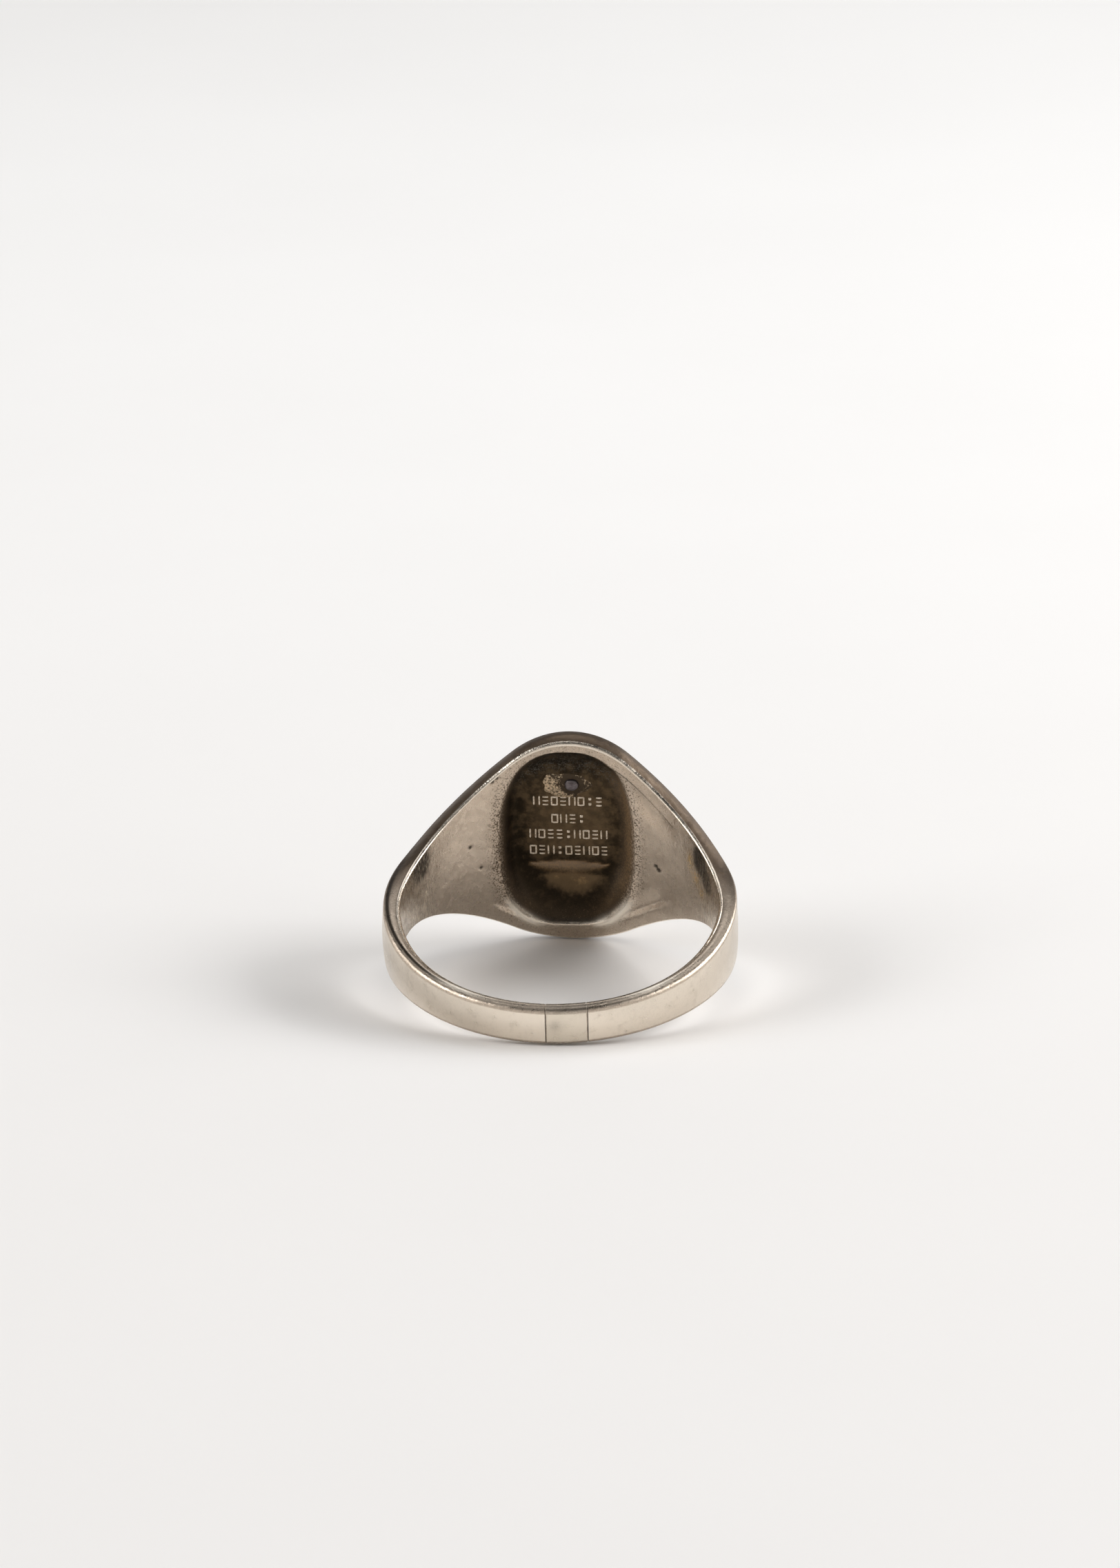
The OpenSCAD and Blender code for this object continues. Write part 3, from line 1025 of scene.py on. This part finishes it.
def plain_metal(name, colour, second, roughness, lump, metal=1.0):
    """A small metal part: two mixed tones with a lumpy, slightly uneven skin."""
    s = Shade(name)
    mm = s.millimetres()
    blotch = s.noise(mm, 2.6, 5.0, 0.65)
    lumps = s.noise(mm, 7.0, 3.0)
    tone = s.mix(s.span(blotch, 0.38, 0.62), colour, second)
    rough = s.span(lumps, 0.3, 0.7, roughness - 0.06, roughness + 0.10)
    normal = s.bump(lumps, lump)
    return s.finish(Base_Color=tone, Metallic=metal, Roughness=rough, Normal=normal)


def granular_solder():
    """Rough solder: gold-white grains and dark oxide between them; painted light makes one side gold,
    painted shade darkens the other side and a ring round the post.
    """
    s = Shade("solder_gold")
    mm = s.millimetres()
    grains = s.noise(mm, 6.5, 4.0, 0.7)
    light = s.attribute("light")
    mixed = s.math("ADD", s.math("MULTIPLY", light, 0.17), grains)
    tone = s.mix(s.span(mixed, 0.50, 0.76), (0.070, 0.052, 0.035, 1), (0.80, 0.63, 0.43, 1))
    normal = s.bump(grains, 0.00006)
    return s.finish(Base_Color=tone, Metallic=1.0, Roughness=0.38, Normal=normal)


# Where the board's painted light starts to whiten it and where it is whitest, in millimetres
BOARD_NEAR = -60
BOARD_BACK = 230


def pale_table():
    """Matt white board with the faintest mottling, and painted light making it a little whiter towards
    the back.
    """
    s = Shade("pale_board")
    mm = s.millimetres()
    apart = s.add("ShaderNodeSeparateXYZ", {0: mm})
    # painted light: whiter towards the back
    tone = s.mix(s.span(apart.outputs["Y"], BOARD_NEAR, BOARD_BACK), (0.85, 0.833, 0.818, 1),
                 (0.97, 0.962, 0.952, 1))
    cloud = s.noise(mm, 0.02, 3.0)
    tone = s.mix(s.span(cloud, 0.3, 0.7, 0.0, 0.06), tone, (0.70, 0.68, 0.66, 1))
    return s.finish(Base_Color=tone, Roughness=0.75, Metallic=0.0)


# ---------------------------------------------------------------- building

SATIN = (0.685, 0.58, 0.472, 1)
BRIGHT = (0.855, 0.765, 0.65, 1)
silver = old_silver("ring_silver", SATIN, BRIGHT)
hoop_silver = old_silver("insert_silver", (0.60, 0.52, 0.43, 1), (0.76, 0.68, 0.57, 1))
emblem_silver = old_silver("shield_bright", (0.5, 0.45, 0.38, 1), (0.74, 0.68, 0.60, 1))
marks_silver = plain_metal("mark_silver", (0.92, 0.80, 0.66, 1), (0.62, 0.52, 0.40, 1),
                           roughness=0.30, lump=0.000005, metal=0.45)
solder = plain_metal("solder_grey", (0.62, 0.54, 0.44, 1), (0.42, 0.35, 0.28, 1),
                     roughness=0.38, lump=0.00001)
blob = granular_solder()
wire = plain_metal("wire_end", (0.21, 0.185, 0.195, 1), (0.12, 0.105, 0.105, 1),
                   roughness=0.42, lump=0.00001)

# Points across the outer face, each corner, each side and the inner face
RING_ACROSS = (60, 7, 6, 150)
INSERT_ACROSS = (24, 7, 6, 24)
# How far the insert stands proud of the hoop, and its seams lie below it
INSERT_PROUD = 0.008
SEAM_SUNK = 0.012

# The rows of the hoop, from the insert's one side round the head to the other
SEAM_CUT = INSERT_W / 2 + SEAM_T
SEAM_TURN = float(end_angle(SEAM_CUT, MID_R))
HALF_TURN = float(end_angle(INSERT_W / 2, MID_R))
ROW_STOPS = [BACK_AT - SEAM_TURN, *np.radians([100, 52, -52, -100]),
             BACK_AT - 2 * math.pi + SEAM_TURN]
ROW_GAPS = np.radians([2.4, 1.3, 0.56, 1.3, 2.4])

body = hoop_mesh("ring_body_silver", (SEAM_CUT, -1), (SEAM_CUT, 1), spaced(ROW_STOPS, ROW_GAPS),
                 RING_ACROSS, silver)
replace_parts(body, "ring_body")
signet_table(silver)
insert = hoop_mesh("sizing_insert_silver", (INSERT_W / 2, 1), (INSERT_W / 2, -1),
                   np.linspace(BACK_AT + HALF_TURN, BACK_AT - HALF_TURN, 24),
                   INSERT_ACROSS, hoop_silver, INSERT_PROUD, head=False)
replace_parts(insert, "sizing_insert")
for name, sign in (("left", 1), ("right", -1)):
    rows = np.linspace(BACK_AT + sign * HALF_TURN, BACK_AT + sign * SEAM_TURN, 4)
    seam = hoop_mesh(f"seam_{name}_solder", (INSERT_W / 2, sign), (SEAM_CUT, sign),
                     rows, INSERT_ACROSS, solder, -SEAM_SUNK, head=False)
    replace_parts(seam, f"solder_seam_{name}")
shield(emblem_silver)
struck_rows(marks_silver)
patch = lumpy_disc("post_solder_patch", x0=-0.35, z0=POST_Z - 0.10, a=1.45, b=0.86,
                   height=0.12, lumps=0.14, material=blob)
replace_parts(patch, "post_solder")
post = lumpy_disc("emblem_post_end", x0=0.0, z0=POST_Z, a=POST_R, b=POST_R * 0.92,
                  height=0.24, lumps=0.04, material=wire, flat=True)
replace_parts(post, "emblem_post")


# ---------------------------------------------------------------- table, light and camera

ROOM_LOW = 0.80
ROOM_HIGH = 0.02
ROOM_COLOUR = (1.0, 0.975, 0.95, 1)
TABLE_HALF = 0.9
LIT_SPOT = (0, 0, 0.005)

# Soft boxes: name, place and size in metres, and power in watts
LAMPS = (
    ("soft_right", (0.54, 0.05, 0.30), 0.34, 0.26, 2.0),
    ("soft_right_back", (0.46, 0.32, 0.30), 0.34, 0.26, 1.4),
    ("soft_right_front", (0.47, -0.21, 0.33), 0.30, 0.28, 0.6),
    ("soft_left", (-0.54, 0.05, 0.30), 0.34, 0.26, 0.6),
    ("soft_left_front", (-0.49, -0.23, 0.31), 0.30, 0.28, 1.5),
    ("soft_above", (0.0, 0.30, 0.70), 0.60, 0.40, 1.1),
    ("glint_above", (-0.10, -0.20, 0.62), 0.10, 0.08, 0.12),
)


def floor():
    """A square of pale board under the ring."""
    corners = [(-1, -1, 0), (1, -1, 0), (1, 1, 0), (-1, 1, 0)]
    mesh = bpy.data.meshes.new("table_top")
    mesh.from_pydata([(x * TABLE_HALF, y * TABLE_HALF, z) for x, y, z in corners],
                     [], [(0, 1, 2, 3)])
    mesh.materials.append(pale_table())
    board = bpy.data.objects.new("table_top", mesh)
    bpy.context.scene.collection.objects.link(board)


def turned_to(thing, place, aim):
    """Stands a lamp or a camera at place with its back away from aim, so that it faces it."""
    thing.location = place
    thing.rotation_mode = "QUATERNION"
    thing.rotation_quaternion = Vector(np.array(place) - np.array(aim)).to_track_quat("Z", "Y")
    bpy.context.scene.collection.objects.link(thing)


def lamp(name, place, width, height, power):
    """A soft box at place, turned to the ring."""
    data = bpy.data.lights.new(name, "AREA")
    data.shape = "RECTANGLE"
    data.size, data.size_y = width, height
    data.energy = power
    turned_to(bpy.data.objects.new(name, data), place, LIT_SPOT)


def studio():
    """A pale room that darkens overhead, with soft boxes round both sides and above."""
    world = bpy.data.worlds.new("studio")
    world.use_nodes = True
    nodes, links = world.node_tree.nodes, world.node_tree.links
    place = nodes.new("ShaderNodeTexCoord")
    apart = nodes.new("ShaderNodeSeparateXYZ")
    links.new(place.outputs["Generated"], apart.inputs[0])
    rise = nodes.new("ShaderNodeMapRange")
    rise.interpolation_type = "SMOOTHSTEP"
    rise.inputs["From Min"].default_value = 0.05
    rise.inputs["From Max"].default_value = 0.75
    rise.inputs["To Min"].default_value = ROOM_LOW
    rise.inputs["To Max"].default_value = ROOM_HIGH
    links.new(apart.outputs["Z"], rise.inputs["Value"])
    back = nodes["Background"]
    back.inputs["Color"].default_value = ROOM_COLOUR
    links.new(rise.outputs["Result"], back.inputs["Strength"])
    bpy.context.scene.world = world
    for lamp_values in LAMPS:
        lamp(*lamp_values)
    bpy.context.scene.view_settings.view_transform = "Standard"


CAMERA_AWAY = 0.6
CAMERA_TURN = math.radians(4.5)
CAMERA_RISE = math.radians(17.5)
VIEW_HEIGHT = 0.0936
AIM_ABOVE = 0.00868
SENSOR_MM = 36.0


def camera():
    """Looks down on the ring from behind the hoop, from a long way off.

    The direction back to it and its own up follow from its turn and its rise, and the
    lens is the sensor's size times the distance over the height of the view.
    """
    turn, rise = CAMERA_TURN, CAMERA_RISE
    back = np.array([math.sin(turn) * math.cos(rise), -math.cos(turn) * math.cos(rise),
                     math.sin(rise)])
    up = np.array([-math.sin(turn) * math.sin(rise), math.cos(turn) * math.sin(rise),
                   math.cos(rise)])
    data = bpy.data.cameras.new("camera")
    data.sensor_width = SENSOR_MM
    data.lens = SENSOR_MM * CAMERA_AWAY / VIEW_HEIGHT
    data.clip_start, data.clip_end = 0.01, 20.0
    cam = bpy.data.objects.new("camera", data)
    turned_to(cam, HOLE + CAMERA_AWAY * back, HOLE + AIM_ABOVE * up)
    bpy.context.scene.camera = cam


floor()
studio()
camera()
